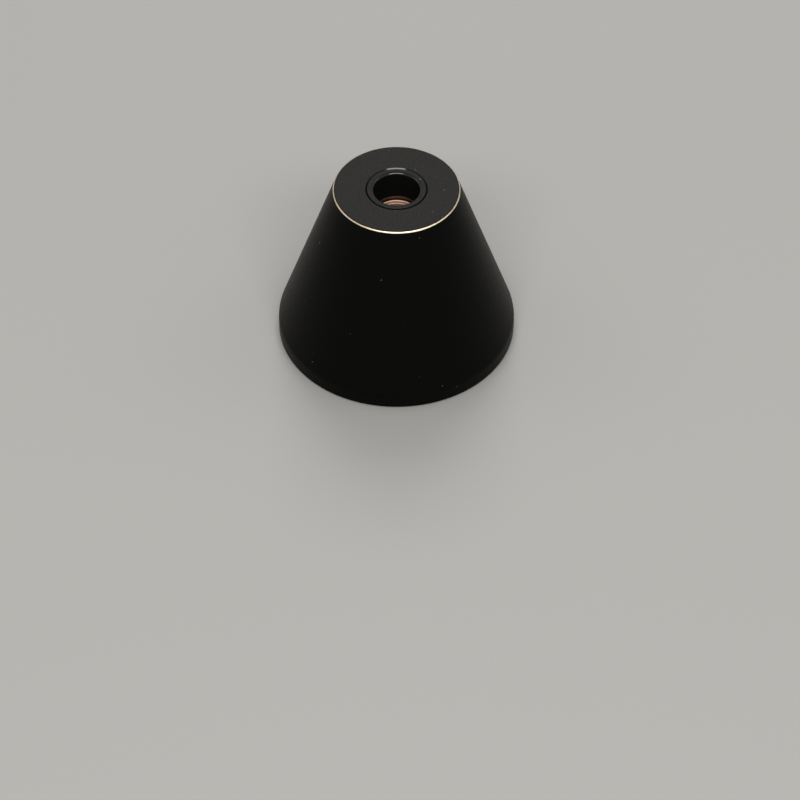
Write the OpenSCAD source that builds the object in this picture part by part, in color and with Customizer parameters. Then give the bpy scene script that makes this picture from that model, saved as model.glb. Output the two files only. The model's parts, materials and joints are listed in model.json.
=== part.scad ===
// Conical desk stand for a pen: a heavy turned cone with a lined socket, and in it a sprung
// well that covers the nib. Millimetres, +Z up, origin on the desk under the cone's axis.

/* [Cone] */
// Diameter of the straight band round the foot
base_d = 48; // [46:0.5:56]
// Height of that band, under the sloping side
band_h = 3.1; // [2:0.1:4]
// Diameter of the top face, measured at the sharp corner
top_d = 25; // [24:0.5:30]
// Height of the whole stand above the desk
height = 37.5; // [36.5:0.5:44]
// Leg of the chamfer round the top face, where the metal shows bare
edge_chamfer = 0.3; // [0.2:0.05:0.5]
// Leg of the chamfer round the foot
foot_chamfer = 0.3; // [0.2:0.05:0.6]

/* [Socket] */
// Bore that takes the pen's round grip
socket_d = 9.1; // [8.9:0.1:9.3]
// Outer diameter of the bush that lines the socket
bush_d = 12; // [11.8:0.1:12.4]
// Length of the bush
bush_len = 6.2; // [5.6:0.2:6.2]
// Radius of the rounded mouth
mouth_r = 0.6; // [0.2:0.05:0.65]
// Leg of the two chamfers that make the seam round the bush
seam_chamfer = 0.18; // [0.1:0.02:0.3]

/* [Nib well] */
// Inner diameter of the well
well_d = 7.2; // [7:0.1:7.4]
// Depth of the seat ring's face below the top face
seat_depth = 7.1; // [7:0.1:7.5]
// Travel of the well under the pen's weight
well_travel = 1.6; // [0.8:0.1:2]

/* [Foot] */
// Outer diameter of the pad
pad_d = 42; // [38:0.5:42]
// Thickness of the pad
pad_t = 0.9; // [0.7:0.1:0.9]
// How far the pad stands out of the foot
pad_proud = 0.3; // [0.2:0.1:0.5]

/* [Hidden] */
$fn = 96;
past = 1; // how far a cutter runs past the face that it opens
fit = 0.02; // room between parts that are glued or pressed together

// Cone: the bush sits on a neck of bare metal, and the well's flange stops under it
foot_z = pad_proud;
band_z = foot_z + band_h;
bush_z = height - bush_len;
seat_z = height - seat_depth;
stop_gap = 0.05; // room left at either end of the well's travel
flange_z = seat_z - 0.65;
neck_z = flange_z + stop_gap;
neck_d = 9.8;
spring_bore_d = 13;

// Seat ring: a collar in the neck, a flange under it, and a sleeve round the tube's mouth
collar_d = neck_d - 0.5;
collar_chamfer = 0.25;
opening_chamfer = 0.15;
flange_d = 12.6;
flange_t = 1.2;
sleeve_d = 10;
sleeve_z = flange_z - flange_t - 3;

// Plug: head, thread, and a pocket for the spring's lower end and the well's travel
head_d = 19;
head_z = 0.6;
head_t = 1.2;
head_chamfer = 0.25;
head_room = 0.1;
plug_z = head_z + head_t;
plug_top_z = plug_z + 4.2;
pocket_d = 13.2;
pocket_z = plug_z + 1.2;
slot_size = [14, 1.6, 1.1];

// Tube with a closed lower end
tube_d = well_d + 1.4;
tube_top_z = seat_z - 1.4;
tube_bottom_z = pocket_z + well_travel + stop_gap;
tube_chamfer = 0.5;
well_floor_z = tube_bottom_z + 0.75;

// Thread, as separate 60 degree rings; thread_d is the major diameter in the bore
thread_d = 16;
thread_pitch = 1;
thread_h = 0.54;
thread_half = thread_h * tan(30);
thread_room = 0.06;
thread_zs = [for (i = [0 : 2]) plug_z + 1.5 + i * thread_pitch];

// Sealing rings of round section, and the room beside them
bush_seal_t = 0.72;
bush_seal_z = height - 4.2;
plug_seal_t = 0.84;
plug_seal_d = 18;
seal_room = 0.05;

// Spring: closed turns at both ends, open ones between them
wire_d = 0.6;
spring_d = 11.8;
end_turns = 1;
open_turns = 8;
turn_steps = 32;
wire_sides = 8;
washer_t = 0.3;
washer_z = pocket_z;
spring_z = washer_z + washer_t;
spring_top_z = flange_z - flange_t;

// Pad and its adhesive film, in a ring-shaped recess round the plug
pad_hole_d = 21.6;
pad_room = 0.2;
tape_t = 0.1;
tape_inset = 0.3;
recess_z = pad_t + tape_t;

// Radius of the cone's sloping side at height z
function side_r(z) = base_d / 2 + (top_d - base_d) / 2 * (z - band_z) / (height - band_z);

// Solid disc between two heights
module disc(d, z0, z1) {
    translate([0, 0, z0]) cylinder(d = d, h = z1 - z0);
}

// Flat ring between two heights
module flat_ring(d_out, d_in, z0, z1) {
    difference() {
        disc(d_out, z0, z1);
        disc(d_in, z0 - past, z1 + past);
    }
}

// Ring of round section, measured by its outer diameter
module round_ring(d_out, t, z) {
    translate([0, 0, z]) rotate_extrude() translate([(d_out - t) / 2, 0]) circle(d = t);
}

// Cutter for a chamfer round the upper edge of a bore
module mouth_chamfer(d, leg, z) {
    translate([0, 0, z - leg]) cylinder(d1 = d, d2 = d + 2 * (leg + past), h = leg + past);
}

// One ring of thread with its sharp edge outwards: a ridge on the plug, a cutter in the cone
module thread_ring(root_r, half, z) {
    backing = 0.2;
    rotate_extrude() polygon([
        [root_r - backing, z - half],
        [root_r, z - half],
        [root_r + half / tan(30), z],
        [root_r, z + half],
        [root_r - backing, z + half]
    ]);
}

// Heavy cone with its stepped bore
module cone_body() {
    color([0.05, 0.05, 0.05]) difference() {
        rotate_extrude() polygon([
            [0, foot_z],
            [base_d / 2 - foot_chamfer, foot_z],
            [base_d / 2, foot_z + foot_chamfer],
            [base_d / 2, band_z],
            [side_r(height - edge_chamfer), height - edge_chamfer],
            [top_d / 2 - edge_chamfer, height],
            [0, height]
        ]);
        disc(bush_d, bush_z, height + past);
        mouth_chamfer(bush_d, seam_chamfer, height);
        disc(neck_d, neck_z - past, bush_z + past);
        disc(spring_bore_d, foot_z - past, neck_z);
        disc(thread_d - 2 * thread_h, foot_z - past, plug_top_z + thread_room);
        for (z = thread_zs) thread_ring(thread_d / 2 - thread_h, thread_half, z);
        disc(plug_seal_d, foot_z - past, plug_z + plug_seal_t + 2 * seal_room);
        disc(head_d + 2 * head_room, foot_z - past, plug_z);
        flat_ring(pad_d + 2 * pad_room, pad_hole_d - 2 * pad_room, foot_z - past, recess_z);
    }
}

// Liner of the socket, flush with the cone's top face, with a groove for its seal
module mouth_bush() {
    bore_r = socket_d / 2;
    outer_r = bush_d / 2 - fit;
    groove_r = bush_d / 2 - bush_seal_t - seal_room;
    groove_half = bush_seal_t / 2 + seal_room;
    color([0.03, 0.03, 0.03]) rotate_extrude() difference() {
        polygon([
            [bore_r, bush_z],
            [outer_r, bush_z],
            [outer_r, bush_seal_z - groove_half],
            [groove_r, bush_seal_z - groove_half],
            [groove_r, bush_seal_z + groove_half],
            [outer_r, bush_seal_z + groove_half],
            [outer_r, height - seam_chamfer],
            [outer_r - seam_chamfer, height],
            [bore_r + mouth_r, height],
            [bore_r, height]
        ]);
        difference() {
            translate([bore_r - past, height - mouth_r]) square(mouth_r + past);
            translate([bore_r + mouth_r, height - mouth_r]) circle(r = mouth_r);
        }
    }
}

// Seal between the bush and the cone
module bush_seal() {
    color([0.06, 0.06, 0.06]) round_ring(bush_d - fit, bush_seal_t, bush_seal_z);
}

// Ring that the pen's collar rests on, with the flange that the spring lifts
module seat_ring() {
    color([0.75, 0.48, 0.36]) difference() {
        union() {
            disc(collar_d, flange_z, seat_z - collar_chamfer);
            translate([0, 0, seat_z - collar_chamfer])
                cylinder(d1 = collar_d, d2 = collar_d - 2 * collar_chamfer, h = collar_chamfer);
            disc(flange_d, flange_z - flange_t, flange_z);
            disc(sleeve_d, sleeve_z, flange_z - flange_t);
        }
        disc(well_d, sleeve_z - past, seat_z + past);
        mouth_chamfer(well_d, opening_chamfer, seat_z);
        disc(tube_d, sleeve_z - past, tube_top_z);
    }
}

// Tube that covers the nib, closed at its lower end
module well_tube() {
    tube_r = tube_d / 2 - fit;
    color([0.03, 0.03, 0.03]) rotate_extrude() polygon([
        [0, tube_bottom_z],
        [tube_r - tube_chamfer, tube_bottom_z],
        [tube_r, tube_bottom_z + tube_chamfer],
        [tube_r, tube_top_z],
        [well_d / 2, tube_top_z],
        [well_d / 2, well_floor_z],
        [0, well_floor_z]
    ]);
}

// Height of the wire's centre after a number of turns
function wire_z(turn) =
    let (closed = wire_d * 1.03,
         z0 = spring_z + fit + wire_d / 2,
         z1 = spring_top_z - fit - wire_d / 2,
         open = (z1 - z0 - 2 * end_turns * closed) / open_turns)
    turn < end_turns ? z0 + closed * turn
    : turn < end_turns + open_turns ? z0 + closed * end_turns + open * (turn - end_turns)
    : z1 - closed * (2 * end_turns + open_turns - turn);

// Compression spring round the tube, swept ring by ring along its helix
module well_spring() {
    steps = (2 * end_turns + open_turns) * turn_steps;
    coil_r = (spring_d - wire_d) / 2;
    points = [for (i = [0 : steps], k = [0 : wire_sides - 1])
        let (a = 360 * i / turn_steps,
             b = 360 * k / wire_sides,
             r = coil_r + wire_d / 2 * cos(b))
        [r * cos(a), r * sin(a), wire_z(i / turn_steps) + wire_d / 2 * sin(b)]];
    skin = [for (i = [0 : steps - 1], k = [0 : wire_sides - 1])
        let (m = i * wire_sides + k,
             n = i * wire_sides + (k + 1) % wire_sides)
        [m, n, n + wire_sides, m + wire_sides]];
    first_end = [for (k = [wire_sides - 1 : -1 : 0]) k];
    last_end = [for (k = [0 : wire_sides - 1]) steps * wire_sides + k];
    color([0.6, 0.6, 0.62]) polyhedron(points, concat([first_end], skin, [last_end]));
}

// Washer that the spring's lower end turns on
module spring_washer() {
    color([0.6, 0.6, 0.62]) flat_ring(pocket_d - 0.3, spring_d - 2.6, washer_z, spring_z);
}

// Plug that closes the bore from below, turned with a coin
module base_plug() {
    core_r = thread_d / 2 - thread_h - thread_room;
    color([0.72, 0.56, 0.3]) difference() {
        union() {
            disc(head_d, head_z + head_chamfer, plug_z);
            translate([0, 0, head_z])
                cylinder(d1 = head_d - 2 * head_chamfer, d2 = head_d, h = head_chamfer);
            disc(2 * core_r, plug_z, plug_top_z);
            for (z = thread_zs) thread_ring(core_r, thread_half - thread_room, z);
        }
        disc(pocket_d, pocket_z, plug_top_z + past);
        translate([0, 0, head_z]) cube([slot_size.x, slot_size.y, 2 * slot_size.z], center = true);
    }
}

// Seal between the plug's head and the cone
module plug_seal() {
    color([0.06, 0.06, 0.06])
        round_ring(plug_seal_d - 2 * fit, plug_seal_t, plug_z + seal_room + plug_seal_t / 2);
}

// Soft ring that the stand rests on
module foot_pad() {
    color([0.09, 0.09, 0.09]) flat_ring(pad_d, pad_hole_d, 0, pad_t);
}

// Adhesive film between the pad and the cone
module pad_tape() {
    color([0.8, 0.78, 0.7])
        flat_ring(pad_d - 2 * tape_inset, pad_hole_d + 2 * tape_inset, pad_t, recess_z);
}

cone_body();
mouth_bush();
bush_seal();
seat_ring();
well_tube();
well_spring();
spring_washer();
base_plug();
plug_seal();
foot_pad();
pad_tape();
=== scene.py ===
"""A cone-shaped desk stand for a fountain pen: its pieces, its finishes and its studio.

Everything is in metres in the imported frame: +Z up, the desk at z = 0, the cone's axis on Z.
"""

import json
import logging
import math
from dataclasses import dataclass, field
from enum import Enum
from typing import Callable, Iterable, Optional, Union

import bmesh
import bpy
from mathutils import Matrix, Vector


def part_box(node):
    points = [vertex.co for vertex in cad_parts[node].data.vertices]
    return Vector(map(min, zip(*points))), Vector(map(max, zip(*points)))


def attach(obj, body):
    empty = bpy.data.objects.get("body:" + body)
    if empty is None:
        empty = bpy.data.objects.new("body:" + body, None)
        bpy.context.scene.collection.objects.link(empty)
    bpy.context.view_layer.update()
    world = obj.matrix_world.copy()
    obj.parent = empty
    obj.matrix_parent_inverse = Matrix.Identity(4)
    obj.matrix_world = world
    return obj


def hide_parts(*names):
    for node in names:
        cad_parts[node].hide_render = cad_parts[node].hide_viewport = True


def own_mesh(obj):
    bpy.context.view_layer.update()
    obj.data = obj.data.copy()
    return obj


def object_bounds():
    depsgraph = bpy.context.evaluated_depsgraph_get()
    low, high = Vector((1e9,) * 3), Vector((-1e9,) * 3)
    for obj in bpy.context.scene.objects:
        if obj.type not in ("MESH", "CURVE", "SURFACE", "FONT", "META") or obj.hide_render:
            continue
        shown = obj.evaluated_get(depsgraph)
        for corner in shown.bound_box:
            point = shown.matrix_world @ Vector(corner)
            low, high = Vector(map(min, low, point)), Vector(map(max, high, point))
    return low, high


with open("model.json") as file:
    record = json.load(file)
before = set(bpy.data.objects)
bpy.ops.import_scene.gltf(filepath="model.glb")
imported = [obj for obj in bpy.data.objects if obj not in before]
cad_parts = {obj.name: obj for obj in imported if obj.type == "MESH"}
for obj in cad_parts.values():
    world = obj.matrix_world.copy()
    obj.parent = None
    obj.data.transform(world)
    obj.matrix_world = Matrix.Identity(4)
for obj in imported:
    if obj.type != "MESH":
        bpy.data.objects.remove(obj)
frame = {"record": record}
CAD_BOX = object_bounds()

LOG = logging.getLogger("pen_stand")

MM = 0.001
FULL_TURN = 2 * math.pi
SIDES = 256  # faces round a turned piece
POLE = 2e-7  # radius of a ring that closes to a point
MERGE = 1e-6  # vertices nearer than this become one

BLACK_IOR = 1.14  # of the black skins, which have almost no shine of their own
SKIN_SCALE = 2700.0  # of the fine skin on the black finishes
SKIN_WAVINESS = 0.12
DUST_SCALE = 655.0
DUST_SPECK = 0.06
FAINT_HAIR = 0.25  # share of a hairline scratch that shows on the black finishes

Socket = bpy.types.NodeSocket
Value = Union[Socket, float, tuple]


# ---------------------------------------------------------------------------
# What the frame says
# ---------------------------------------------------------------------------


@dataclass(frozen=True)
class Span:
    """The room that a round CAD node takes: its outer radius and its two heights."""

    r: float
    z0: float
    z1: float

    @classmethod
    def of(cls, node: str) -> "Span":
        """Reads the span of a node off the frame.

        Args:
            node: The CAD node's name.

        Returns:
            The node's span.
        """
        low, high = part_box(node)
        return cls(high.x, low.z, high.z)


def mount_radius(name: str) -> float:
    """Reads a round mount's radius off the record.

    Args:
        name: The mount's name.

    Returns:
        Its wall radius in metres.
    """
    mount = next(m for m in frame["record"]["mounts"] if m["name"] == name)
    return mount["dims"]["r_mm"] * MM


# ---------------------------------------------------------------------------
# Modelling
# ---------------------------------------------------------------------------


class Smoothing(Enum):
    """How sharp a fold has to be before it is shaded as an edge, in degrees."""

    SOFT = 60
    CRISP = 28


@dataclass(frozen=True)
class Station:
    """One corner of a turned outline: its radius, its height, and how it is rounded.

    A bevel of one step is a flat chamfer and one of several steps is a round.
    """

    r: float
    z: float
    bevel: float = 0.0
    steps: int = 1


def start_piece(name: str) -> bpy.types.Object:
    """Names the primitive that was just added and opens it for editing.

    Args:
        name: The piece's name.

    Returns:
        The piece, in edit mode with everything selected.
    """
    piece = bpy.context.object
    piece.name = name
    piece.data.name = name
    bpy.ops.object.mode_set(mode="EDIT")
    bpy.ops.mesh.select_mode(type="VERT")
    bpy.ops.mesh.select_all(action="SELECT")
    return piece


def select(piece: bpy.types.Object, kind: str, test: Callable[[object], bool]) -> int:
    """Selects what passes a test on a piece in edit mode, and nothing else.

    Args:
        piece: The piece.
        kind: "VERT", "EDGE" or "FACE".
        test: Says of one vertex, edge or face whether it is wanted.

    Returns:
        How many were selected.
    """
    bpy.ops.mesh.select_mode(type=kind)
    bpy.ops.mesh.select_all(action="DESELECT")
    mesh = bmesh.from_edit_mesh(piece.data)
    elements = {"VERT": mesh.verts, "EDGE": mesh.edges, "FACE": mesh.faces}[kind]
    chosen = [element for element in elements if test(element)]
    for element in chosen:
        element.select_set(True)
    mesh.select_flush_mode()
    bmesh.update_edit_mesh(piece.data)
    return len(chosen)


def radius_of(point: Vector) -> float:
    """Returns a point's distance from the axis."""
    return math.hypot(point.x, point.y)


def close_mesh() -> None:
    """Merges what lies together on the open piece and turns its faces outwards."""
    bpy.ops.mesh.select_mode(type="VERT")
    bpy.ops.mesh.select_all(action="SELECT")
    bpy.ops.mesh.remove_doubles(threshold=MERGE)
    bpy.ops.mesh.normals_make_consistent(inside=False)


def bevel_ring(piece: bpy.types.Object, corner: Station) -> None:
    """Bevels the ring of edges that runs round the axis at a corner of the outline.

    Args:
        piece: The piece, in edit mode.
        corner: The corner, with its bevel.
    """

    def at_corner(edge: bmesh.types.BMEdge) -> bool:
        """Says whether an edge lies on the corner's ring."""
        return all(
            abs(radius_of(v.co) - corner.r) < 5 * MERGE and abs(v.co.z - corner.z) < 5 * MERGE
            for v in edge.verts
        )

    if not select(piece, "EDGE", at_corner):
        raise ValueError(f"{piece.name} has no corner at {corner}")
    bpy.ops.mesh.bevel(offset=corner.bevel, segments=corner.steps, profile=0.5, affect="EDGES")


def finish_piece(piece: bpy.types.Object, smoothing: Smoothing) -> None:
    """Leaves edit mode and shades a piece so that its flats stay flat.

    Args:
        piece: The piece.
        smoothing: Where its shading breaks.
    """
    bpy.ops.object.mode_set(mode="OBJECT")
    bpy.ops.object.shade_smooth_by_angle(angle=math.radians(smoothing.value))
    apply_modifier(piece, "WEIGHTED_NORMAL", keep_sharp=True, weight=100)


def apply_modifier(piece: bpy.types.Object, kind: str, **settings: object) -> None:
    """Adds a modifier to a piece and applies it.

    Args:
        piece: The piece.
        kind: The modifier's type.
        **settings: The modifier's own settings.
    """
    modifier = piece.modifiers.new(kind.title(), kind)
    for name, value in settings.items():
        setattr(modifier, name, value)
    bpy.context.view_layer.objects.active = piece
    bpy.ops.object.modifier_apply(modifier=modifier.name)


def turn(name: str, outline: list[Station], closed: bool) -> bpy.types.Object:
    """Turns a piece as on a lathe: a ring is drawn from corner to corner of an outline.

    Args:
        name: The piece's name.
        outline: The corners in order. A radius of 0 closes the piece on the axis.
        closed: Whether the outline runs back to its first corner.

    Returns:
        The piece, in object mode.
    """
    bpy.ops.object.select_all(action="DESELECT")
    first = outline[0]
    bpy.ops.mesh.primitive_circle_add(vertices=SIDES, radius=max(first.r, POLE), location=(0, 0, 0))
    piece = start_piece(name)
    bpy.ops.transform.translate(value=(0, 0, first.z))
    here = first
    for corner in outline[1:] + ([first] if closed else []):
        bpy.ops.mesh.extrude_edges_move(TRANSFORM_OT_translate={"value": (0, 0, corner.z - here.z)})
        growth = max(corner.r, POLE) / max(here.r, POLE)
        if growth != 1:
            bpy.ops.transform.resize(value=(growth, growth, 1), center_override=(0, 0, corner.z))
        here = corner
    close_mesh()
    for corner in outline:
        if corner.bevel:
            bevel_ring(piece, corner)
    finish_piece(piece, Smoothing.CRISP)
    return piece


def spin_section(name: str, outer_r: float, z: float, thickness: float,
                 flat: float) -> bpy.types.Object:
    """Spins a round section into a ring of rubber, flattened where its bore squeezes it.

    Args:
        name: The piece's name.
        outer_r: The ring's outer radius.
        z: The height of its middle.
        thickness: The section's thickness.
        flat: How much of the section the bore presses flat.

    Returns:
        The piece, in object mode.
    """
    bpy.ops.object.select_all(action="DESELECT")
    bpy.ops.mesh.primitive_circle_add(
        vertices=32, radius=thickness / 2 + flat, rotation=(math.pi / 2, 0, 0), location=(0, 0, 0)
    )
    piece = start_piece(name)
    bpy.ops.object.mode_set(mode="OBJECT")
    bpy.ops.object.transform_apply(location=True, rotation=True, scale=True)
    bpy.ops.object.mode_set(mode="EDIT")
    bpy.ops.mesh.select_all(action="SELECT")
    squashed = thickness / (thickness + 2 * flat)
    bpy.ops.transform.resize(value=(1, 1, squashed), center_override=(0, 0, 0))
    bpy.ops.transform.translate(value=(outer_r - thickness / 2, 0, z))
    for side in (outer_r, outer_r - thickness):
        select(piece, "VERT", lambda v: (v.co.x - side) * (side - outer_r + thickness / 2) > 0)
        bpy.ops.transform.resize(value=(0, 1, 1), center_override=(side, 0, z))
    bpy.ops.mesh.select_all(action="SELECT")
    bpy.ops.mesh.spin(steps=SIDES, angle=FULL_TURN, center=(0, 0, 0), axis=(0, 0, 1))
    close_mesh()
    finish_piece(piece, Smoothing.SOFT)
    return piece


def ride_for(piece: bpy.types.Object, body: str, node: str) -> bpy.types.Object:
    """Puts a piece in the place of a CAD node.

    Args:
        piece: The piece.
        body: The body that it moves with.
        node: The node that it stands for.

    Returns:
        The piece.
    """
    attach(piece, body)
    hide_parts(node)
    LOG.info("%s: %d faces on %s, for %s", piece.name, len(piece.data.polygons), body, node)
    return piece


# ---------------------------------------------------------------------------
# Shader graphs
# ---------------------------------------------------------------------------


class Graph:
    """A node tree that is built with one short call for each node."""

    def __init__(self, tree: bpy.types.NodeTree) -> None:
        """Starts on a tree.

        Args:
            tree: The tree to build in.
        """
        self.tree = tree

    def node(self, kind: str, inputs: Optional[dict] = None, **settings: object) -> bpy.types.Node:
        """Adds a node.

        Args:
            kind: The node's type, without "ShaderNode".
            inputs: Values or sockets, by input name or number.
            **settings: The node's own settings.

        Returns:
            The new node.
        """
        made = self.tree.nodes.new("ShaderNode" + kind)
        for name, value in settings.items():
            setattr(made, name, value)
        for name, value in (inputs or {}).items():
            self.feed(made.inputs[name], value)
        return made

    def feed(self, socket: Socket, value: Value) -> None:
        """Links a socket to an input, or sets the input's value.

        Args:
            socket: The input.
            value: The socket or the value that it takes.
        """
        if isinstance(value, bpy.types.NodeSocket):
            self.tree.links.new(value, socket)
        else:
            socket.default_value = value

    def math(self, operation: str, a: Value, b: Value = 0.0, clamp: bool = False) -> Socket:
        """Adds a Math node and returns its result."""
        return self.node("Math", {0: a, 1: b}, operation=operation, use_clamp=clamp).outputs[0]

    def ramp(self, value: Value, low: Value, high: Value, to_low: Value = 0.0,
             to_high: Value = 1.0) -> Socket:
        """Maps a value smoothly from one range to another.

        Args:
            value: The value.
            low: Where the first range starts.
            high: Where it ends.
            to_low: Where the second range starts.
            to_high: Where it ends.

        Returns:
            The mapped value.
        """
        inputs = {
            "Value": value, "From Min": low, "From Max": high, "To Min": to_low, "To Max": to_high,
        }
        return self.node("MapRange", inputs, interpolation_type="SMOOTHSTEP").outputs["Result"]

    def mix(self, share: Value, a: Value, b: Value) -> Socket:
        """Mixes two numbers and returns the result."""
        return self.node("Mix", {0: share, 2: a, 3: b}, data_type="FLOAT").outputs[0]

    def mix_color(self, share: Value, a: Value, b: Value) -> Socket:
        """Mixes two colours and returns the result."""
        return self.node("Mix", {0: share, 6: a, 7: b}, data_type="RGBA").outputs[2]

    def noise(self, position: Socket, scale: Value, detail: float = 2.0,
              roughness: float = 0.5) -> Socket:
        """Adds a Noise texture.

        Args:
            position: Where it is read.
            scale: Its scale.
            detail: How many finer layers it has.
            roughness: How strong they are.

        Returns:
            Its value, about 0.5 on average.
        """
        inputs = {"Vector": position, "Scale": scale, "Detail": detail, "Roughness": roughness}
        return self.node("TexNoise", inputs).outputs["Fac"]

    def position(self) -> Socket:
        """Adds Object coordinates and returns them."""
        return self.node("TexCoord").outputs["Object"]

    def effect(self, effect: "Effect", output: str, **inputs: Value) -> Socket:
        """Places a shared effect.

        Args:
            effect: Which one.
            output: The output that is wanted.
            **inputs: Its inputs, with underscores for spaces.

        Returns:
            The output's socket.
        """
        made = self.tree.nodes.new("ShaderNodeGroup")
        made.node_tree = effect.tree()
        for name, value in inputs.items():
            self.feed(made.inputs[name.replace("_", " ")], value)
        return made.outputs[output]


def group_tree(name: str, inputs: dict, outputs: Iterable[str]) -> tuple:
    """Starts a node group with named sockets.

    Args:
        name: The group's name.
        inputs: Each input's name and its default; None makes a vector.
        outputs: Each output's name; all are numbers.

    Returns:
        The tree, its graph, its inputs node and its outputs node.
    """
    tree = bpy.data.node_groups.new(name, "ShaderNodeTree")
    for label, default in inputs.items():
        kind = "NodeSocketVector" if default is None else "NodeSocketFloat"
        socket = tree.interface.new_socket(name=label, in_out="INPUT", socket_type=kind)
        if default is not None:
            socket.default_value = default
    for label in outputs:
        tree.interface.new_socket(name=label, in_out="OUTPUT", socket_type="NodeSocketFloat")
    return tree, Graph(tree), tree.nodes.new("NodeGroupInput"), tree.nodes.new("NodeGroupOutput")


def build_ring_wear() -> bpy.types.NodeTree:
    """Builds the mask of an edge round the axis that is rubbed bare, raggedly.

    Returns:
        The group's tree.
    """
    tree, g, got, out = group_tree(
        "RingWear",
        {"Position": None, "Ring Radius": 0.0125, "Ring Height": 0.0365, "Width": 0.0003,
         "Raggedness": 0.5, "Grain": 900.0},
        ["Mask"],
    )
    parts = g.node("SeparateXYZ", {0: got.outputs["Position"]})
    flat = g.node("CombineXYZ", {"X": parts.outputs["X"], "Y": parts.outputs["Y"]})
    radius = g.node("VectorMath", {0: flat.outputs[0]}, operation="LENGTH").outputs["Value"]
    off_r = g.math("SUBTRACT", radius, got.outputs["Ring Radius"])
    off_z = g.math("SUBTRACT", parts.outputs["Z"], got.outputs["Ring Height"])
    squares = g.math("ADD", g.math("MULTIPLY", off_r, off_r), g.math("MULTIPLY", off_z, off_z))
    away = g.math("SQRT", squares)
    coarse = g.noise(got.outputs["Position"], g.math("MULTIPLY", got.outputs["Grain"], 0.35), 2.0)
    fine = g.noise(got.outputs["Position"], got.outputs["Grain"], 3.0, 0.65)
    ragged = g.math("SUBTRACT", g.math("ADD", coarse, fine), 1.0)
    swing = g.math("MULTIPLY", ragged, g.math("MULTIPLY", got.outputs["Raggedness"], 2.0))
    reach = g.math("ADD", 1.0, swing)
    edge = g.math("MULTIPLY", got.outputs["Width"], reach)
    mask = g.ramp(away, edge, g.math("MULTIPLY", edge, 0.8))
    g.feed(out.inputs["Mask"], mask)
    return tree


def build_fine_grain() -> bpy.types.NodeTree:
    """Builds the fine uneven skin of a sprayed, moulded or blasted surface.

    Returns:
        The group's tree.
    """
    tree, g, got, out = group_tree(
        "FineGrain", {"Position": None, "Scale": 5000.0, "Waviness": 0.3}, ["Height", "Tone"]
    )
    fine = g.noise(got.outputs["Position"], got.outputs["Scale"], 4.0, 0.6)
    broad = g.noise(got.outputs["Position"], g.math("MULTIPLY", got.outputs["Scale"], 0.08), 3.0)
    g.feed(out.inputs["Height"], g.mix(got.outputs["Waviness"], fine, broad))
    g.feed(out.inputs["Tone"], g.math("MULTIPLY", g.math("ADD", fine, broad), 0.5))
    return tree


def build_dust() -> bpy.types.NodeTree:
    """Builds the mask of scattered specks of dust, each of its own size.

    Returns:
        The group's tree.
    """
    tree, g, got, out = group_tree(
        "Dust", {"Position": None, "Scale": 450.0, "Amount": 0.05, "Speck": 0.07}, ["Mask"]
    )
    warp = g.node("TexNoise", {"Vector": got.outputs["Position"], "Scale": 4000.0, "Detail": 1.0})
    bent = g.node("VectorMath", {0: warp.outputs["Color"], 1: (0.00012,) * 3}, operation="MULTIPLY")
    moved = g.node("VectorMath", {0: got.outputs["Position"], 1: bent.outputs[0]}, operation="ADD")
    cells = g.node("TexVoronoi", {"Vector": moved.outputs[0], "Scale": got.outputs["Scale"]})
    chance = g.node("SeparateColor", {0: cells.outputs["Color"]})
    chosen = g.math("LESS_THAN", chance.outputs[0], got.outputs["Amount"])
    size = g.math("MULTIPLY", got.outputs["Speck"], g.math("ADD", 0.4, chance.outputs[1]))
    speck = g.ramp(cells.outputs["Distance"], size, g.math("MULTIPLY", size, 0.5))
    g.feed(out.inputs["Mask"], g.math("MULTIPLY", chosen, speck))
    return tree


def build_lathe_marks() -> bpy.types.NodeTree:
    """Builds the fine rings that a cutting tool leaves on turned metal.

    Returns:
        The group's tree.
    """
    tree, g, got, out = group_tree(
        "LatheMarks", {"Position": None, "Pitch": 0.00006, "Unevenness": 0.5}, ["Height", "Tone"]
    )
    parts = g.node("SeparateXYZ", {0: got.outputs["Position"]})
    flat = g.node("CombineXYZ", {"X": parts.outputs["X"], "Y": parts.outputs["Y"]})
    radius = g.node("VectorMath", {0: flat.outputs[0]}, operation="LENGTH").outputs["Value"]
    along = g.node("CombineXYZ", {"X": radius, "Y": parts.outputs["Z"]}).outputs[0]
    marks = g.noise(along, g.math("DIVIDE", 1.0, got.outputs["Pitch"]), 2.0, 0.7)
    bands = g.noise(along, g.math("DIVIDE", 0.12, got.outputs["Pitch"]), 2.0, 0.5)
    g.feed(out.inputs["Height"], g.mix(0.25, marks, bands))
    g.feed(out.inputs["Tone"], g.mix(got.outputs["Unevenness"], marks, bands))
    return tree


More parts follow.
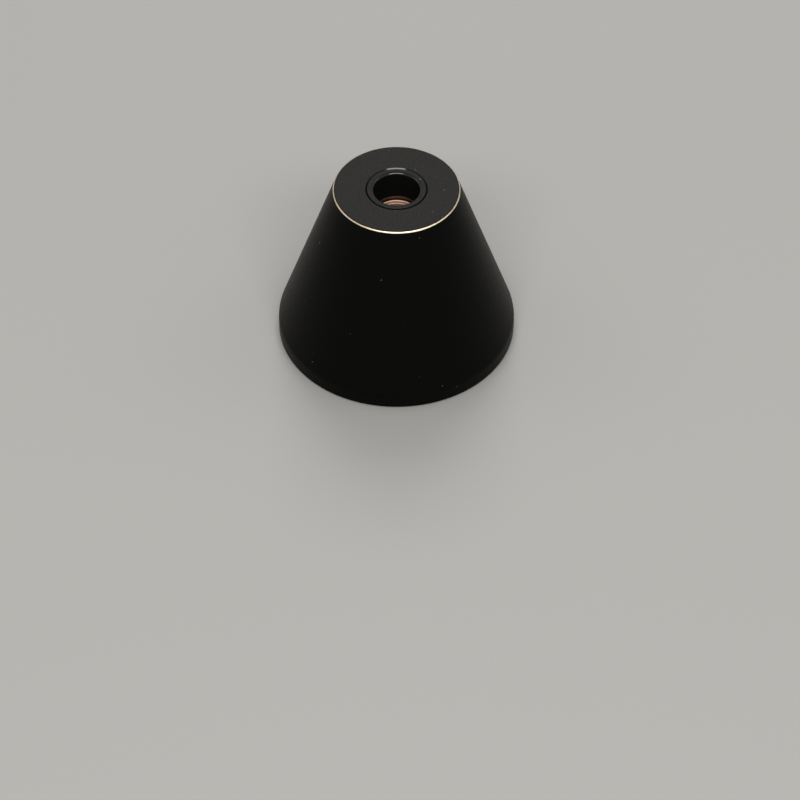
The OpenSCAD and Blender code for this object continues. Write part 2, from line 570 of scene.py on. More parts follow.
def build_scratches() -> bpy.types.NodeTree:
    """Builds the mask of sparse hairline scratches in many directions.

    Returns:
        The group's tree.
    """
    tree, g, got, out = group_tree(
        "Scratches", {"Position": None, "Scale": 160.0, "Amount": 0.4}, ["Mask"]
    )
    lines = []
    for turn_by, stretch in ((0.4, 14.0), (1.5, 11.0), (2.6, 17.0)):
        placed = g.node(
            "Mapping",
            {"Vector": got.outputs["Position"], "Rotation": (turn_by, 0.5 * turn_by, turn_by),
             "Scale": (stretch, 1.0, 1.0)},
        )
        streaked = g.node(
            "TexNoise",
            {"Vector": placed.outputs[0], "Scale": got.outputs["Scale"], "Detail": 1.0,
             "Distortion": 0.4},
        )
        off = g.math("ABSOLUTE", g.math("SUBTRACT", streaked.outputs["Fac"], 0.5))
        lines.append(g.ramp(off, 0.006, 0.0))
    both = g.math("MAXIMUM", g.math("MAXIMUM", lines[0], lines[1]), lines[2])
    patch = g.noise(got.outputs["Position"], 120.0, 2.0)
    where = g.ramp(patch, g.math("SUBTRACT", 1.0, got.outputs["Amount"]), 1.0)
    g.feed(out.inputs["Mask"], g.math("MULTIPLY", both, where))
    return tree


class Effect(Enum):
    """The surface effects that several finishes share."""

    RING_WEAR = ("RingWear", build_ring_wear)
    FINE_GRAIN = ("FineGrain", build_fine_grain)
    DUST = ("Dust", build_dust)
    LATHE_MARKS = ("LatheMarks", build_lathe_marks)
    SCRATCHES = ("Scratches", build_scratches)

    def tree(self) -> bpy.types.NodeTree:
        """Returns the effect's node group, which is built the first time it is asked for."""
        name, build = self.value
        return bpy.data.node_groups.get(name) or build()


# ---------------------------------------------------------------------------
# Finishes
# ---------------------------------------------------------------------------


@dataclass(frozen=True)
class Rim:
    """An edge round the axis that wears: its radius, its height and the width laid bare."""

    r: float
    z: float
    width: float
    raggedness: float = 0.3


def rim_mask(g: Graph, position: Socket, rims: Iterable[Rim]) -> Socket:
    """Places the wear of several edges and joins it.

    Args:
        g: The graph of the material.
        position: The material's Object coordinates.
        rims: The edges.

    Returns:
        One mask for all of them.
    """
    worn = 0.0
    for rim in rims:
        mask = g.effect(
            Effect.RING_WEAR, "Mask", Position=position, Ring_Radius=rim.r, Ring_Height=rim.z,
            Width=rim.width, Raggedness=rim.raggedness,
        )
        worn = g.math("MAXIMUM", worn, mask)
    return worn


def upward(g: Graph) -> Socket:
    """Adds a measure of how far the surface faces up: where dust settles, and where the black
    coat's lighter grain is painted as top light.
    """
    return g.node("SeparateXYZ", {0: g.node("TexCoord").outputs["Normal"]}).outputs["Z"]


@dataclass(frozen=True)
class Finish:
    """What every finish has: a name and the way to start its material."""

    name: str

    def open(self, **constants: Value) -> tuple:
        """Starts the material.

        Args:
            **constants: The shader's own values that are the same all over.

        Returns:
            The material, its graph, its shader and the Object coordinates.
        """
        material = bpy.data.materials.new(self.name)
        material.use_nodes = True
        material.node_tree.nodes.clear()
        graph = Graph(material.node_tree)
        shader = graph.node("BsdfPrincipled")
        for label, value in constants.items():
            shader.inputs[label.replace("_", " ")].default_value = value
        output = graph.node("OutputMaterial")
        graph.feed(output.inputs["Surface"], shader.outputs["BSDF"])
        return material, graph, shader, graph.position()


@dataclass(frozen=True)
class BlackCoat(Finish):
    """Matt black coating on brass, rubbed through to the metal on some edges, glossy on others."""

    coat: tuple = (0.0014, 0.0013, 0.0012, 1)
    # the lighter grain colour, laid on upward faces only: painted light that makes the tops lighter
    # than the sides
    grain_and_top_light_color: tuple = (0.0075, 0.0073, 0.0066, 1)
    metal: tuple = (0.93, 0.81, 0.62, 1)
    stain: tuple = (0.70, 0.57, 0.40, 1)
    dust: tuple = (0.34, 0.33, 0.31, 1)
    coat_roughness: float = 0.4
    gloss_roughness: float = 0.14
    grime_roughness: float = 0.9
    metal_roughness: float = 0.42
    rims: tuple = ()
    polished: tuple = ()
    grimy: tuple = ()

    def build(self) -> bpy.types.Material:
        """Builds the material.

        Returns:
            The material.
        """
        material, g, shader, position = self.open(
            IOR=BLACK_IOR, Coat_IOR=1.34, Coat_Roughness=self.gloss_roughness
        )
        bare = rim_mask(g, position, self.rims)
        gloss = rim_mask(g, position, self.polished)
        grime = rim_mask(g, position, self.grimy)
        grain = g.effect(
            Effect.FINE_GRAIN, "Height", Position=position, Scale=SKIN_SCALE, Waviness=SKIN_WAVINESS
        )
        tone = g.effect(Effect.FINE_GRAIN, "Tone", Position=position, Scale=2600.0)
        settled = g.ramp(upward(g), 0.35, 0.95, 0.12, 1.0)
        dust = g.effect(
            Effect.DUST, "Mask", Position=position, Scale=DUST_SCALE, Amount=settled,
            Speck=DUST_SPECK,
        )
        hair = g.effect(Effect.SCRATCHES, "Mask", Position=position, Scale=90.0, Amount=0.42)
        coat = g.mix_color(g.math("MULTIPLY", dust, 0.85), self.coat, self.dust)
        stained = g.mix_color(g.ramp(tone, 0.35, 0.65), self.metal, self.stain)
        # Lighter grain on upward faces only: a fine grain of the coat, and painted light that makes
        # the tops a little lighter than the sides.
        fine = g.effect(Effect.FINE_GRAIN, "Height", Position=position, Scale=3600.0, Waviness=0.0)
        grain_and_top_light = g.math("MULTIPLY", g.ramp(fine, 0.46, 0.62), g.ramp(upward(g), 0.5, 0.95))
        coat_with_top_light = g.mix_color(grain_and_top_light, coat, self.grain_and_top_light_color)
        g.feed(shader.inputs["Base Color"], g.mix_color(bare, coat_with_top_light, stained))
        g.feed(shader.inputs["Metallic"], bare)
        g.feed(shader.inputs["Coat Weight"], gloss)
        uneven = g.ramp(fine, 0.3, 0.7, self.coat_roughness + 0.08, self.coat_roughness - 0.05)
        marked = g.mix(g.math("MULTIPLY", hair, FAINT_HAIR), uneven, self.coat_roughness - 0.12)
        dulled = g.mix(grime, marked, self.grime_roughness)
        g.feed(shader.inputs["Roughness"], g.mix(bare, dulled, self.metal_roughness))
        skin = g.math("MULTIPLY", grain, g.mix(bare, 1.0, 0.35))
        height = g.math("SUBTRACT", skin, g.math("MULTIPLY", bare, 0.6))
        bump = g.node("Bump", {"Strength": 0.6, "Distance": 0.00007, "Height": height})
        g.feed(shader.inputs["Normal"], bump.outputs[0])
        return material


@dataclass(frozen=True)
class TurnedMetal(Finish):
    """Bare metal with the tool's fine rings on it, brighter on a rubbed rim."""

    color: tuple = (0.80, 0.60, 0.34, 1)
    shade: tuple = (0.55, 0.40, 0.22, 1)
    roughness: float = 0.32
    pitch: float = 0.00006
    rims: tuple = ()

    def build(self) -> bpy.types.Material:
        """Builds the material.

        Returns:
            The material.
        """
        material, g, shader, position = self.open(Metallic=1.0)
        tone = g.effect(Effect.LATHE_MARKS, "Tone", Position=position, Pitch=self.pitch)
        marks = g.effect(Effect.LATHE_MARKS, "Height", Position=position, Pitch=self.pitch)
        stain = g.effect(Effect.FINE_GRAIN, "Tone", Position=position, Scale=900.0, Waviness=0.6)
        hair = g.effect(Effect.SCRATCHES, "Mask", Position=position, Scale=220.0, Amount=0.5)
        bright = rim_mask(g, position, self.rims)
        tarnish = g.ramp(g.math("ADD", tone, stain), 0.75, 1.25)
        dulled = g.math("MULTIPLY", tarnish, g.math("SUBTRACT", 1.0, bright))
        g.feed(shader.inputs["Base Color"], g.mix_color(dulled, self.color, self.shade))
        marked = g.math("ADD", tone, hair)
        rough = g.ramp(marked, 0.3, 0.9, self.roughness - 0.06, self.roughness + 0.1)
        g.feed(shader.inputs["Roughness"], g.mix(bright, rough, self.roughness - 0.08))
        height = g.math("SUBTRACT", marks, g.math("MULTIPLY", hair, 0.4))
        bump = g.node("Bump", {"Strength": 0.4, "Distance": 0.00001, "Height": height})
        g.feed(shader.inputs["Normal"], bump.outputs[0])
        return material


@dataclass(frozen=True)
class BlackPlastic(Finish):
    """Black plastic with a fine matt skin, polished to a gloss round its mouth."""

    color: tuple = (0.0025, 0.0024, 0.0023, 1)
    dust: tuple = (0.34, 0.33, 0.31, 1)
    face_roughness: float = 0.4
    gloss_roughness: float = 0.08
    grime_roughness: float = 0.9
    polished: tuple = ()
    grimy: tuple = ()

    def build(self) -> bpy.types.Material:
        """Builds the material.

        Returns:
            The material.
        """
        material, g, shader, position = self.open(
            IOR=BLACK_IOR, Coat_IOR=1.45, Coat_Roughness=self.gloss_roughness
        )
        gloss = rim_mask(g, position, self.polished)
        grime = rim_mask(g, position, self.grimy)
        settled = g.ramp(upward(g), 0.35, 0.95, 0.1, 0.8)
        dust = g.effect(
            Effect.DUST, "Mask", Position=position, Scale=DUST_SCALE, Amount=settled,
            Speck=DUST_SPECK,
        )
        grain = g.effect(
            Effect.FINE_GRAIN, "Height", Position=position, Scale=SKIN_SCALE, Waviness=SKIN_WAVINESS
        )
        hair = g.effect(Effect.SCRATCHES, "Mask", Position=position, Scale=200.0, Amount=0.45)
        dusty = g.mix_color(g.math("MULTIPLY", dust, 0.8), self.color, self.dust)
        g.feed(shader.inputs["Base Color"], dusty)
        skin = g.ramp(grain, 0.3, 0.7, self.face_roughness - 0.03, self.face_roughness + 0.05)
        rubbed = g.math("ADD", skin, g.math("MULTIPLY", hair, 0.12))
        g.feed(shader.inputs["Roughness"], g.mix(grime, rubbed, self.grime_roughness))
        weight = g.math("SUBTRACT", gloss, g.math("MULTIPLY", hair, FAINT_HAIR), clamp=True)
        g.feed(shader.inputs["Coat Weight"], weight)
        bump = g.node("Bump", {"Strength": 0.6, "Distance": 0.00006, "Height": grain})
        g.feed(shader.inputs["Normal"], bump.outputs[0])
        return material


@dataclass(frozen=True)
class Rubber(Finish):
    """Dull dark rubber with a fine open skin and some dust in it."""

    color: tuple = (0.016, 0.016, 0.017, 1)
    worn: tuple = (0.05, 0.05, 0.05, 1)
    dust: tuple = (0.2, 0.19, 0.18, 1)
    grain: float = 3200.0

    def build(self) -> bpy.types.Material:
        """Builds the material.

        Returns:
            The material.
        """
        material, g, shader, position = self.open(Specular_IOR_Level=0.3)
        height = g.effect(
            Effect.FINE_GRAIN, "Height", Position=position, Scale=self.grain, Waviness=0.25
        )
        tone = g.effect(Effect.FINE_GRAIN, "Tone", Position=position, Scale=700.0)
        dust = g.effect(
            Effect.DUST, "Mask", Position=position, Scale=600.0, Amount=0.12, Speck=0.08
        )
        body = g.mix_color(g.ramp(tone, 0.4, 0.75), self.color, self.worn)
        dusty = g.mix_color(g.math("MULTIPLY", dust, 0.6), body, self.dust)
        g.feed(shader.inputs["Base Color"], dusty)
        g.feed(shader.inputs["Roughness"], g.ramp(tone, 0.3, 0.7, 0.72, 0.88))
        bump = g.node("Bump", {"Strength": 0.6, "Distance": 0.00004, "Height": height})
        g.feed(shader.inputs["Normal"], bump.outputs[0])
        return material


@dataclass(frozen=True)
class Film(Finish):
    """Pale adhesive film, faintly streaked, glossier where it is wetted out."""

    color: tuple = (0.62, 0.58, 0.46, 1)
    shade: tuple = (0.50, 0.46, 0.36, 1)

    def build(self) -> bpy.types.Material:
        """Builds the material.

        Returns:
            The material.
        """
        material, g, shader, position = self.open(Specular_IOR_Level=0.5)
        tone = g.effect(Effect.FINE_GRAIN, "Tone", Position=position, Scale=1500.0, Waviness=0.7)
        streaks = g.effect(Effect.SCRATCHES, "Mask", Position=position, Scale=120.0, Amount=0.7)
        cloudy = g.mix_color(g.ramp(tone, 0.35, 0.65), self.color, self.shade)
        g.feed(shader.inputs["Base Color"], cloudy)
        wet = g.ramp(tone, 0.3, 0.7, 0.3, 0.55)
        g.feed(shader.inputs["Roughness"], g.math("ADD", wet, g.math("MULTIPLY", streaks, 0.1)))
        bump = g.node("Bump", {"Strength": 0.2, "Distance": 0.00001, "Height": tone})
        g.feed(shader.inputs["Normal"], bump.outputs[0])
        return material


# ---------------------------------------------------------------------------
# Pieces
# ---------------------------------------------------------------------------


@dataclass
class ConeBody:
    """The heavy cone: coated outside, bare metal in its stepped bore."""

    span: Span = field(default_factory=lambda: Span.of("cone_body"))
    bush: Span = field(default_factory=lambda: Span.of("mouth_bush"))
    seat: Span = field(default_factory=lambda: Span.of("seat_ring"))
    band_z: float = 3.4 * MM
    band_round: float = 0.5 * MM
    top_r: float = 12.5 * MM
    foot_round: float = 0.3 * MM
    edge_round: float = 0.3 * MM
    seam_chamfer: float = 0.2 * MM
    bush_bore_r: float = 6.0 * MM
    neck_r: float = 4.9 * MM
    neck_drop: float = 0.6 * MM  # from the seat ring's top down to the neck's lower end
    spring_bore_r: float = 6.5 * MM
    thread_r: float = 7.46 * MM
    thread_deep: float = 0.54 * MM
    thread_half: float = 0.3118 * MM
    thread_top_z: float = 6.06 * MM
    thread_zs: tuple = (5.3 * MM, 4.3 * MM, 3.3 * MM)
    seal_r: float = 9.0 * MM
    seal_top_z: float = 2.74 * MM
    plug_r: float = 9.6 * MM
    plug_top_z: float = 1.8 * MM
    recess_in_r: float = 10.6 * MM
    recess_out_r: float = 21.2 * MM
    recess_z: float = 1.0 * MM
    coat_reach: float = 0.5 * MM  # how far the coating runs down into the bore
    small: float = 0.08 * MM

    def outline(self) -> list[Station]:
        """Works out the corners, from the foot up the side, down the bore and along the underside.

        Returns:
            The corners in order.
        """
        foot, top, neck = self.span.z0, self.span.z1, self.seat.z1 - self.neck_drop
        threads = [
            Station(self.thread_r + deep, z + rise)
            for z in self.thread_zs
            for deep, rise in ((0, self.thread_half), (self.thread_deep, 0), (0, -self.thread_half))
        ]
        return [
            Station(self.recess_out_r, foot, self.small, 2),
            Station(self.span.r, foot, self.foot_round, 5),
            Station(self.span.r, self.band_z, self.band_round, 5),
            Station(self.top_r, top, self.edge_round, 6),
            Station(self.bush_bore_r, top, self.seam_chamfer, 1),
            Station(self.bush_bore_r, self.bush.z0),
            Station(self.neck_r, self.bush.z0, self.small, 2),
            Station(self.neck_r, neck, self.small / 2, 1),
            Station(self.spring_bore_r, neck),
            Station(self.spring_bore_r, self.thread_top_z),
            Station(self.thread_r, self.thread_top_z),
            *threads,
            Station(self.thread_r, self.seal_top_z, self.small, 1),
            Station(self.seal_r, self.seal_top_z),
            Station(self.seal_r, self.plug_top_z, self.small, 1),
            Station(self.plug_r, self.plug_top_z),
            Station(self.plug_r, foot, self.small, 2),
            Station(self.recess_in_r, foot, self.small, 2),
            Station(self.recess_in_r, self.recess_z),
            Station(self.recess_out_r, self.recess_z),
        ]

    def build(self) -> bpy.types.Object:
        """Builds, dresses and places the cone.

        Returns:
            The piece.
        """
        piece = turn("cone_shell", self.outline(), closed=True)
        coat = BlackCoat(
            "black_coat_on_brass",
            rims=(Rim(self.top_r + 0.02 * MM, self.span.z1 - 0.15 * MM, 0.17 * MM, 0.3),),
            polished=(Rim(self.bush_bore_r + 0.08 * MM, self.span.z1 - 0.1 * MM, 0.14 * MM, 0.2),),
            grimy=(Rim(self.bush_bore_r, self.span.z1 - 0.1 * MM, 0.2 * MM, 0.2),),
        )
        # The bore's metal is coloured a dark brown, far darker than bare brass.
        bare = TurnedMetal(
            "dark_bore_brass", color=(0.13, 0.104, 0.085, 1), shade=(0.072, 0.056, 0.045, 1),
            roughness=0.42,
        )
        piece.data.materials.append(coat.build())
        piece.data.materials.append(bare.build())
        for face in piece.data.polygons:
            inside = radius_of(face.center) < self.seal_r + self.small
            below = self.plug_top_z < face.center.z < self.span.z1 - self.coat_reach
            face.material_index = int(inside and below)
        return ride_for(piece, "stand", "cone_body")


@dataclass
class SocketLiner:
    """The black bush that lines the socket, and the rubber ring behind it."""

    span: Span = field(default_factory=lambda: Span.of("mouth_bush"))
    ring: Span = field(default_factory=lambda: Span.of("bush_seal"))
    bore_r: float = field(default_factory=lambda: mount_radius("pen_socket"))
    mouth_round: float = 0.6 * MM
    seam_chamfer: float = 0.18 * MM
    groove_r: float = 5.23 * MM
    groove_room: float = 0.05 * MM
    small: float = 0.15 * MM
    squeeze: float = 0.03 * MM

    def outline(self) -> list[Station]:
        """Works out the corners, up the outside and down the bore.

        Returns:
            The corners in order.
        """
        low, high = self.ring.z0 - self.groove_room, self.ring.z1 + self.groove_room
        return [
            Station(self.span.r, self.span.z0, self.small, 2),
            Station(self.span.r, low, self.small / 3, 1),
            Station(self.groove_r, low),
            Station(self.groove_r, high),
            Station(self.span.r, high, self.small / 3, 1),
            Station(self.span.r, self.span.z1, self.seam_chamfer, 1),
            Station(self.bore_r, self.span.z1, self.mouth_round, 12),
            Station(self.bore_r, self.span.z0, self.small, 3),
        ]

    def build(self) -> list[bpy.types.Object]:
        """Builds, dresses and places the bush and its ring.

        Returns:
            The two pieces.
        """
        bush = turn("socket_bush", self.outline(), closed=True)
        plastic = BlackPlastic(
            "black_bush",
            polished=(Rim(self.bore_r + 0.2 * MM, self.span.z1 - 0.17 * MM, 0.26 * MM, 0.15),),
            grimy=(
                Rim(self.span.r, self.span.z1 - 0.1 * MM, 0.22 * MM, 0.2),
                Rim(self.bore_r, self.span.z1 - 3.5 * MM, 3.2 * MM, 0.1),
            ),
        )
        bush.data.materials.append(plastic.build())
        thickness = self.ring.z1 - self.ring.z0
        ring = spin_section(
            "bush_ring", self.ring.r, (self.ring.z0 + self.ring.z1) / 2, thickness, self.squeeze
        )
        ring.data.materials.append(Rubber("seal_rubber", grain=9000.0).build())
        return [
            ride_for(bush, "stand", "mouth_bush"),
            ride_for(ring, "stand", "bush_seal"),
        ]


@dataclass
class NibWell:
    """The part that the pen pushes down: the copper seat ring and the closed tube under it."""

    seat: Span = field(default_factory=lambda: Span.of("seat_ring"))
    tube: Span = field(default_factory=lambda: Span.of("well_tube"))
    bore_r: float = field(default_factory=lambda: mount_radius("nib_well"))
    collar_r: float = 4.65 * MM
    collar_round: float = 0.25 * MM
    opening_chamfer: float = 0.05 * MM
    flange_drop: float = 0.65 * MM  # from the ring's top down to the flange
    lip_r: float = 4.38 * MM
    lip_wide: float = 0.12 * MM
    lip_high: float = 0.07 * MM
    flange_t: float = 1.2 * MM
    sleeve_r: float = 5.0 * MM
    socket_r: float = 4.3 * MM
    tube_floor: float = 0.75 * MM
    tube_round: float = 0.5 * MM
    small: float = 0.08 * MM

    def seat_outline(self) -> list[Station]:
        """Works out the seat ring's corners, up the outside and down the inside.

        Returns:
            The corners in order.
        """
        flange_top, face = self.seat.z1 - self.flange_drop, self.seat.z1 - self.lip_high
        flange_low = flange_top - self.flange_t
        return [
            Station(self.sleeve_r, self.seat.z0, self.small, 2),
            Station(self.sleeve_r, flange_low),
            Station(self.seat.r, flange_low, self.small, 2),
            Station(self.seat.r, flange_top, self.small, 2),
            Station(self.collar_r, flange_top),
            Station(self.collar_r, self.seat.z1, self.collar_round, 4),
            Station(self.lip_r, self.seat.z1),
            Station(self.lip_r - self.lip_wide, face),
            Station(self.bore_r, face, self.opening_chamfer, 1),
            Station(self.bore_r, self.tube.z1),
            Station(self.socket_r, self.tube.z1),
            Station(self.socket_r, self.seat.z0, self.small, 1),
        ]

    def tube_outline(self) -> list[Station]:
        """Works out the tube's corners, from its underside's middle to its floor's.

        Returns:
            The corners in order.
        """
        return [
            Station(0, self.tube.z0),
            Station(self.tube.r, self.tube.z0, self.tube_round, 5),
            Station(self.tube.r, self.tube.z1, self.small, 1),
            Station(self.bore_r, self.tube.z1, self.small, 2),
            Station(self.bore_r, self.tube.z0 + self.tube_floor, self.tube_round, 5),
            Station(0, self.tube.z0 + self.tube_floor),
        ]

    def build(self) -> list[bpy.types.Object]:
        """Builds, dresses and places the seat ring and the tube.

        Returns:
            The two pieces.
        """
        seat = turn("copper_seat", self.seat_outline(), closed=True)
        lip = Rim(self.lip_r - self.lip_wide / 2, self.seat.z1 - self.lip_high / 2, 0.1 * MM, 0.15)
        copper = TurnedMetal(
            "turned_copper", color=(0.88, 0.58, 0.43, 1), shade=(0.66, 0.42, 0.30, 1),
            roughness=0.64, rims=(lip,),
        )
        seat.data.materials.append(copper.build())
        tube = turn("nib_tube", self.tube_outline(), closed=False)
        tube.data.materials.append(BlackPlastic("black_tube", face_roughness=0.3).build())
        return [
            ride_for(seat, "well", "seat_ring"),
            ride_for(tube, "well", "well_tube"),
        ]


@dataclass
class LiftSpring:
    """The wound spring that lifts the nib well, and the washer under it."""

    span: Span = field(default_factory=lambda: Span.of("well_spring"))
    washer: Span = field(default_factory=lambda: Span.of("spring_washer"))
    washer_bore_r: float = 4.6 * MM
    wire_r: float = 0.3 * MM
    wire_sides: int = 14
    end_turns: float = 1.0
    open_turns: int = 8
    steps: int = 44  # steps to each turn
    ground: float = 0.09 * MM  # how far the end turns reach into the washer and the flange
    travel: float = 1.6 * MM

    def wire_z(self, turns: float) -> float:
        """Works out the height of the wire's middle.

        Args:
            turns: How far along the wire, in turns.

        Returns:
            The height.
        """
        total = 2 * self.end_turns + self.open_turns
        closed_pitch = 2.06 * self.wire_r
        low = self.washer.z1 + self.wire_r - self.ground
        high = self.span.z1 - self.wire_r + self.ground
        ends = 2 * self.end_turns * closed_pitch
        open_pitch = (high - low - ends) / self.open_turns
        if turns < self.end_turns:
            return low + closed_pitch * turns
        if turns > total - self.end_turns:
            return high - closed_pitch * (total - turns)
        share = (turns - self.end_turns) / self.open_turns
        ease = share - math.sin(FULL_TURN * share) / (2 * FULL_TURN)
        straight = low + closed_pitch * self.end_turns + open_pitch * self.open_turns * share
        return straight + (ease - share) * open_pitch

    def coil(self) -> bpy.types.Object:
        """Winds the wire step by step and bisects it at the washer and at the flange.

        Known fault: the bisect is meant to grind the ends flat, but it only adds faces inside the
        wire. The end turns still reach into both neighbours, and most faces end up turned inwards.

        Returns:
            The piece, in object mode.
        """
        bpy.ops.object.select_all(action="DESELECT")
        bpy.ops.mesh.primitive_circle_add(
            vertices=self.wire_sides, radius=self.wire_r, fill_type="NGON",
            rotation=(math.pi / 2, 0, 0), location=(0, 0, 0),
        )
        piece = start_piece("lift_spring")
        bpy.ops.object.mode_set(mode="OBJECT")
        bpy.ops.object.transform_apply(location=True, rotation=True, scale=True)
        bpy.ops.object.mode_set(mode="EDIT")
        bpy.ops.mesh.select_mode(type="FACE")
        bpy.ops.mesh.select_all(action="SELECT")
        bpy.ops.transform.translate(value=(self.span.r - self.wire_r, 0, self.wire_z(0)))
        bpy.ops.mesh.duplicate()
        count = round((2 * self.end_turns + self.open_turns) * self.steps)
        for step in range(count):
            rise = self.wire_z((step + 1) / self.steps) - self.wire_z(step / self.steps)
            bpy.ops.mesh.extrude_region_move(TRANSFORM_OT_translate={"value": (0, 0, rise)})
            bpy.ops.transform.rotate(
                value=FULL_TURN / self.steps, orient_axis="Z", center_override=(0, 0, 0)
            )
        close_mesh()
        for height, outside in ((self.washer.z1, "inner"), (self.span.z1, "outer")):
            bpy.ops.mesh.select_all(action="SELECT")
            bpy.ops.mesh.bisect(
                plane_co=(0, 0, height), plane_no=(0, 0, 1), use_fill=True,
                clear_inner=outside == "inner", clear_outer=outside == "outer",
            )
        close_mesh()
        finish_piece(piece, Smoothing.SOFT)
        return piece

    def washer_outline(self) -> list[Station]:
        """Works out the washer's corners, with a pressing's rounded upper and sharp lower edges.

        Returns:
            The corners in order.
        """
        return [
            Station(self.washer.r, self.washer.z0, 0.03 * MM, 1),
            Station(self.washer.r, self.washer.z1, 0.08 * MM, 3),
            Station(self.washer_bore_r, self.washer.z1, 0.08 * MM, 3),
            Station(self.washer_bore_r, self.washer.z0, 0.03 * MM, 1),
        ]

    def build(self) -> list[bpy.types.Object]:
        """Builds, dresses and places the spring and the washer.

        Returns:
            The two pieces.
        """
        steel = TurnedMetal(
            "spring_steel", color=(0.56, 0.56, 0.58, 1), shade=(0.38, 0.38, 0.40, 1), roughness=0.3
        ).build()
        spring = self.coil()
        spring.data.materials.append(steel)
        washer = turn("spring_washer_ring", self.washer_outline(), closed=True)
        washer.data.materials.append(steel)
        placed = ride_for(spring, "stand", "well_spring")
        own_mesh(placed)
        return [placed, ride_for(washer, "stand", "spring_washer")]


@dataclass
class FootPlug:
    """The screwed plug under the well, with its coin slot and its rubber ring."""

    span: Span = field(default_factory=lambda: Span.of("base_plug"))
    ring: Span = field(default_factory=lambda: Span.of("plug_seal"))
    head_top_z: float = 1.8 * MM
    core_r: float = 7.4 * MM
    ridge_half: float = 0.2518 * MM
    ridge_zs: tuple = (3.3 * MM, 4.3 * MM, 5.3 * MM)
    pocket_r: float = 6.6 * MM
    pocket_z: float = 3.0 * MM
    slot_length: float = 14.0 * MM
    slot_width: float = 1.6 * MM
    slot_depth: float = 1.1 * MM
    flare: float = 0.12 * MM
    edge: float = 0.25 * MM
    small: float = 0.1 * MM
    squeeze: float = 0.03 * MM

    def outline(self) -> list[Station]:
        """Works out the corners, from the middle of the head up the outside to the pocket's floor.

        Returns:
            The corners in order.
        """
        reach = self.ridge_half / math.tan(math.radians(30))
        ridges = [
            Station(self.core_r + out, z + rise, 0.03 * MM if out else 0.0, 1)
            for z in self.ridge_zs
            for out, rise in ((0, -self.ridge_half), (reach, 0), (0, self.ridge_half))
        ]
        return [
            Station(0, self.span.z0),
            Station(self.span.r, self.span.z0, self.edge, 3),
            Station(self.span.r, self.head_top_z, self.small, 2),
            Station(self.core_r, self.head_top_z),
            *ridges,
            Station(self.core_r, self.span.z1, self.small, 2),
            Station(self.pocket_r, self.span.z1, self.small, 2),
            Station(self.pocket_r, self.pocket_z),
            Station(0, self.pocket_z),
        ]

    def slot_cutter(self) -> bpy.types.Object:
        """Makes the shape of the coin slot, flared at its mouth.

        Returns:
            The cutter, in object mode.
        """
        bpy.ops.object.select_all(action="DESELECT")
        bpy.ops.mesh.primitive_cube_add(size=1, location=(0, 0, 0))
        cutter = start_piece("slot_cutter")
        size = (self.slot_length, self.slot_width, self.slot_depth - self.flare)
        bpy.ops.transform.resize(value=size, center_override=(0, 0, 0))
        middle = self.span.z0 + self.flare + (self.slot_depth - self.flare) / 2
        bpy.ops.transform.translate(value=(0, 0, middle))
        select(cutter, "FACE", lambda f: f.normal.z < -0.9)
        bpy.ops.mesh.extrude_region_move(TRANSFORM_OT_translate={"value": (0, 0, -2 * self.flare)})
        grow = ((size[0] + 4 * self.flare) / size[0], (size[1] + 4 * self.flare) / size[1], 1)
        bpy.ops.transform.resize(value=grow, center_override=(0, 0, 0))
        bpy.ops.object.mode_set(mode="OBJECT")
        return cutter

    def build(self) -> list[bpy.types.Object]:
        """Builds, dresses and places the plug and its ring.

        Returns:
            The two pieces.
        """
        cutter = self.slot_cutter()
        plug = turn("coin_plug", self.outline(), closed=False)
        apply_modifier(plug, "BOOLEAN", operation="DIFFERENCE", object=cutter, solver="EXACT")
        bpy.data.objects.remove(cutter)
        bpy.ops.object.shade_smooth_by_angle(angle=math.radians(Smoothing.CRISP.value))
        plug.data.materials.append(TurnedMetal("turned_plug_brass", pitch=0.00009).build())
        thickness = self.ring.z1 - self.ring.z0
        ring = spin_section(
            "plug_ring", self.ring.r, (self.ring.z0 + self.ring.z1) / 2, thickness, self.squeeze
        )
        ring.data.materials.append(bpy.data.materials["seal_rubber"])
        return [
            ride_for(plug, "stand", "base_plug"),
            ride_for(ring, "stand", "plug_seal"),
        ]


@dataclass
class FootPad:
    """The rubber ring under the foot and the adhesive film that holds it."""

    pad: Span = field(default_factory=lambda: Span.of("foot_pad"))
    tape: Span = field(default_factory=lambda: Span.of("pad_tape"))
    hole_r: float = 10.8 * MM
    tape_inset: float = 0.3 * MM
    lower_round: float = 0.18 * MM
    upper_round: float = 0.05 * MM

    def ring_outline(self, span: Span, hole_r: float, lower: float, upper: float) -> list[Station]:
        """Works out the corners of a flat ring.

        Args:
            span: The ring's outer radius and heights.
            hole_r: The radius of its hole.
            lower: The rounding of its lower edges.
            upper: The rounding of its upper edges.

        Returns:
            The corners in order.
        """
        return [
            Station(span.r, span.z0, lower, 4),
            Station(span.r, span.z1, upper, 2),
            Station(hole_r, span.z1, upper, 2),
            Station(hole_r, span.z0, lower, 4),
        ]

    def build(self) -> list[bpy.types.Object]:
        """Builds, dresses and places the pad and the film.

        Returns:
            The two pieces.
        """
        outline = self.ring_outline(self.pad, self.hole_r, self.lower_round, self.upper_round)
        pad = turn("rubber_foot", outline, closed=True)
        pad.data.materials.append(Rubber("foot_rubber").build())
        thin = (self.tape.z1 - self.tape.z0) / 5
        outline = self.ring_outline(self.tape, self.hole_r + self.tape_inset, thin, thin)
        film = turn("pad_film", outline, closed=True)
        film.data.materials.append(Film("adhesive_film").build())
        return [
            ride_for(pad, "stand", "foot_pad"),
            ride_for(film, "stand", "pad_tape"),
        ]


# ---------------------------------------------------------------------------
# Studio
# ---------------------------------------------------------------------------


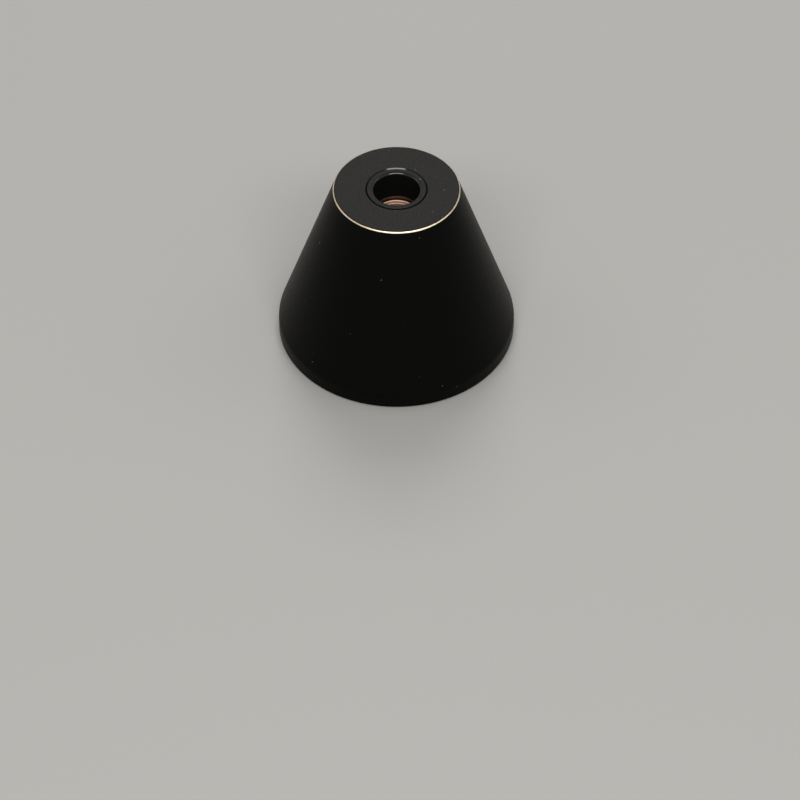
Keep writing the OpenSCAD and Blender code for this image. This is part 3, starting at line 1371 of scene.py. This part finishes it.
@dataclass(frozen=True)
class Softbox:
    """A soft rectangular light, placed by its direction from the stand's top."""

    name: str
    azimuth: float  # degrees, 0 behind the stand and 90 to its right
    elevation: float  # degrees above the desk
    distance: float
    width: float
    height: float
    radiance: float
    color: tuple = (1.0, 0.98, 0.95)

    def place(self, aim: Vector) -> None:
        """Adds the light, facing its aim.

        Args:
            aim: The point that it faces.
        """
        a, e = math.radians(self.azimuth), math.radians(self.elevation)
        way = Vector((math.sin(a) * math.cos(e), math.cos(a) * math.cos(e), math.sin(e)))
        bpy.ops.object.light_add(type="AREA", location=aim + way * self.distance)
        lamp = bpy.context.object
        lamp.name = self.name
        lamp.rotation_mode = "QUATERNION"
        lamp.rotation_quaternion = way.to_track_quat("Z", "Y")
        lamp.data.shape = "RECTANGLE"
        lamp.data.size = self.width
        lamp.data.size_y = self.height
        lamp.data.energy = self.radiance * math.pi * self.width * self.height
        lamp.data.color = self.color
        lamp.visible_camera = False


@dataclass
class Studio:
    """A pale floor, soft light from above, and the camera."""

    floor_size: float = 6.0
    floor_color: tuple = (0.30, 0.297, 0.29, 1)
    world_color: tuple = (0.55, 0.55, 0.54, 1)
    view_elevation: float = 45.976  # degrees above the desk at the middle of the view
    view_distance: float = 0.69179
    view_aim: tuple = (0.00075, -0.021655, 0.0)
    view_roll: float = 0.1  # degrees
    lens: float = 155.22
    lights: tuple = (
        Softbox("light_key", 178, 49, distance=0.75, width=0.68, height=0.16, radiance=14.5),
        Softbox("light_back", 0, 46, distance=0.8, width=0.37, height=0.37, radiance=8.5),
        Softbox("light_left", -75, 40, distance=0.8, width=0.3, height=0.25, radiance=1.2),
        Softbox("light_right", 75, 40, distance=0.8, width=0.3, height=0.25, radiance=1.2),
    )

    def floor(self) -> None:
        """Lays the floor."""
        bpy.ops.mesh.primitive_plane_add(size=self.floor_size, location=(0, 0, 0))
        plane = bpy.context.object
        plane.name = "floor"
        material = bpy.data.materials.new("pale_floor")
        material.use_nodes = True
        shader = material.node_tree.nodes["Principled BSDF"]
        shader.inputs["Base Color"].default_value = self.floor_color
        shader.inputs["Roughness"].default_value = 0.9
        shader.inputs["Specular IOR Level"].default_value = 0.1
        plane.data.materials.append(material)

    def light(self) -> None:
        """Hangs the lights and sets the world's fill."""
        world = bpy.data.worlds.new("studio")
        world.use_nodes = True
        world.node_tree.nodes["Background"].inputs["Color"].default_value = self.world_color
        bpy.context.scene.world = world
        for softbox in self.lights:
            softbox.place(Vector((0, 0, CAD_BOX[1].z)))

    def camera(self) -> None:
        """Sets up the camera."""
        e = math.radians(self.view_elevation)
        back = Vector((0, -math.cos(e), math.sin(e)))
        bpy.ops.object.camera_add(location=Vector(self.view_aim) + back * self.view_distance)
        camera = bpy.context.object
        camera.name = "camera"
        camera.rotation_euler = (math.radians(90 - self.view_elevation), 0, 0)
        camera.rotation_euler.rotate_axis("Z", math.radians(self.view_roll))
        camera.data.lens = self.lens
        camera.data.sensor_width = 36
        camera.data.clip_start = 0.01
        bpy.context.scene.camera = camera

    def build(self) -> None:
        """Builds the studio."""
        bpy.context.scene.view_settings.view_transform = "Standard"
        self.floor()
        self.light()
        self.camera()


def main() -> None:
    """Builds every piece and the studio."""
    logging.basicConfig(level=logging.INFO, format="%(name)s %(message)s")
    Studio().build()
    for assembly in (ConeBody(), SocketLiner(), NibWell(), LiftSpring(), FootPlug(), FootPad()):
        assembly.build()


if __name__ == "__main__":
    main()
